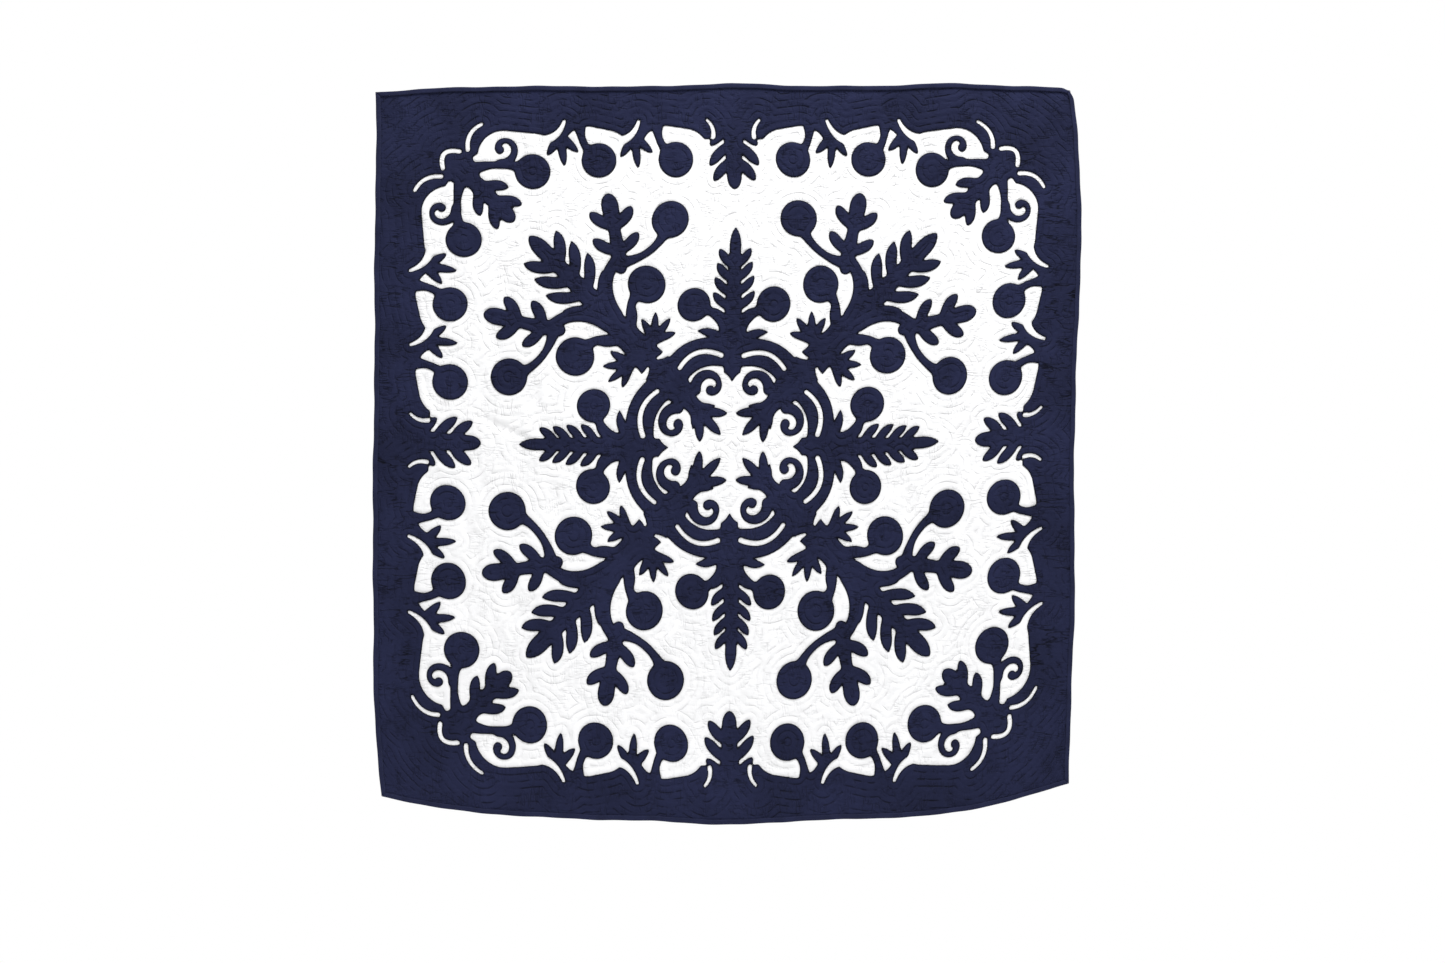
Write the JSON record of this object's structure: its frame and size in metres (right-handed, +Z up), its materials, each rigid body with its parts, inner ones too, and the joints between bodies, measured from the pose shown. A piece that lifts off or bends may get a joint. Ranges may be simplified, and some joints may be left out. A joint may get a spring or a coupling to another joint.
{
  "type": "quilted wall hanging",
  "caption": "Square quilted wall hanging of white cotton with a navy leaf-and-fruit medallion and garland frame sewn on, bound in navy, hanging from its top edge.",
  "frame": {"origin": "middle of the top edge, at the quilt's back", "axes": "+Z up along the hanging cloth, +X to the right as seen from the front, the front faces -Y"},
  "size_m": [1.2356, 0.025, 1.2927],
  "materials": {
    "white_cotton": "matt plain-woven white cotton, quilted",
    "navy_cotton": "matt plain-woven navy cotton, quilted",
    "navy_binding": "matt navy cotton, folded and stitched"
  },
  "bodies": {
    "root": {"quilt_panel": "white_cotton", "border_applique": "navy_cotton", "medallion_applique": "navy_cotton", "binding_top": "navy_binding", "binding_left": "navy_binding", "binding_bottom": "navy_binding", "binding_right": "navy_binding"}
  },
  "joints": []
}
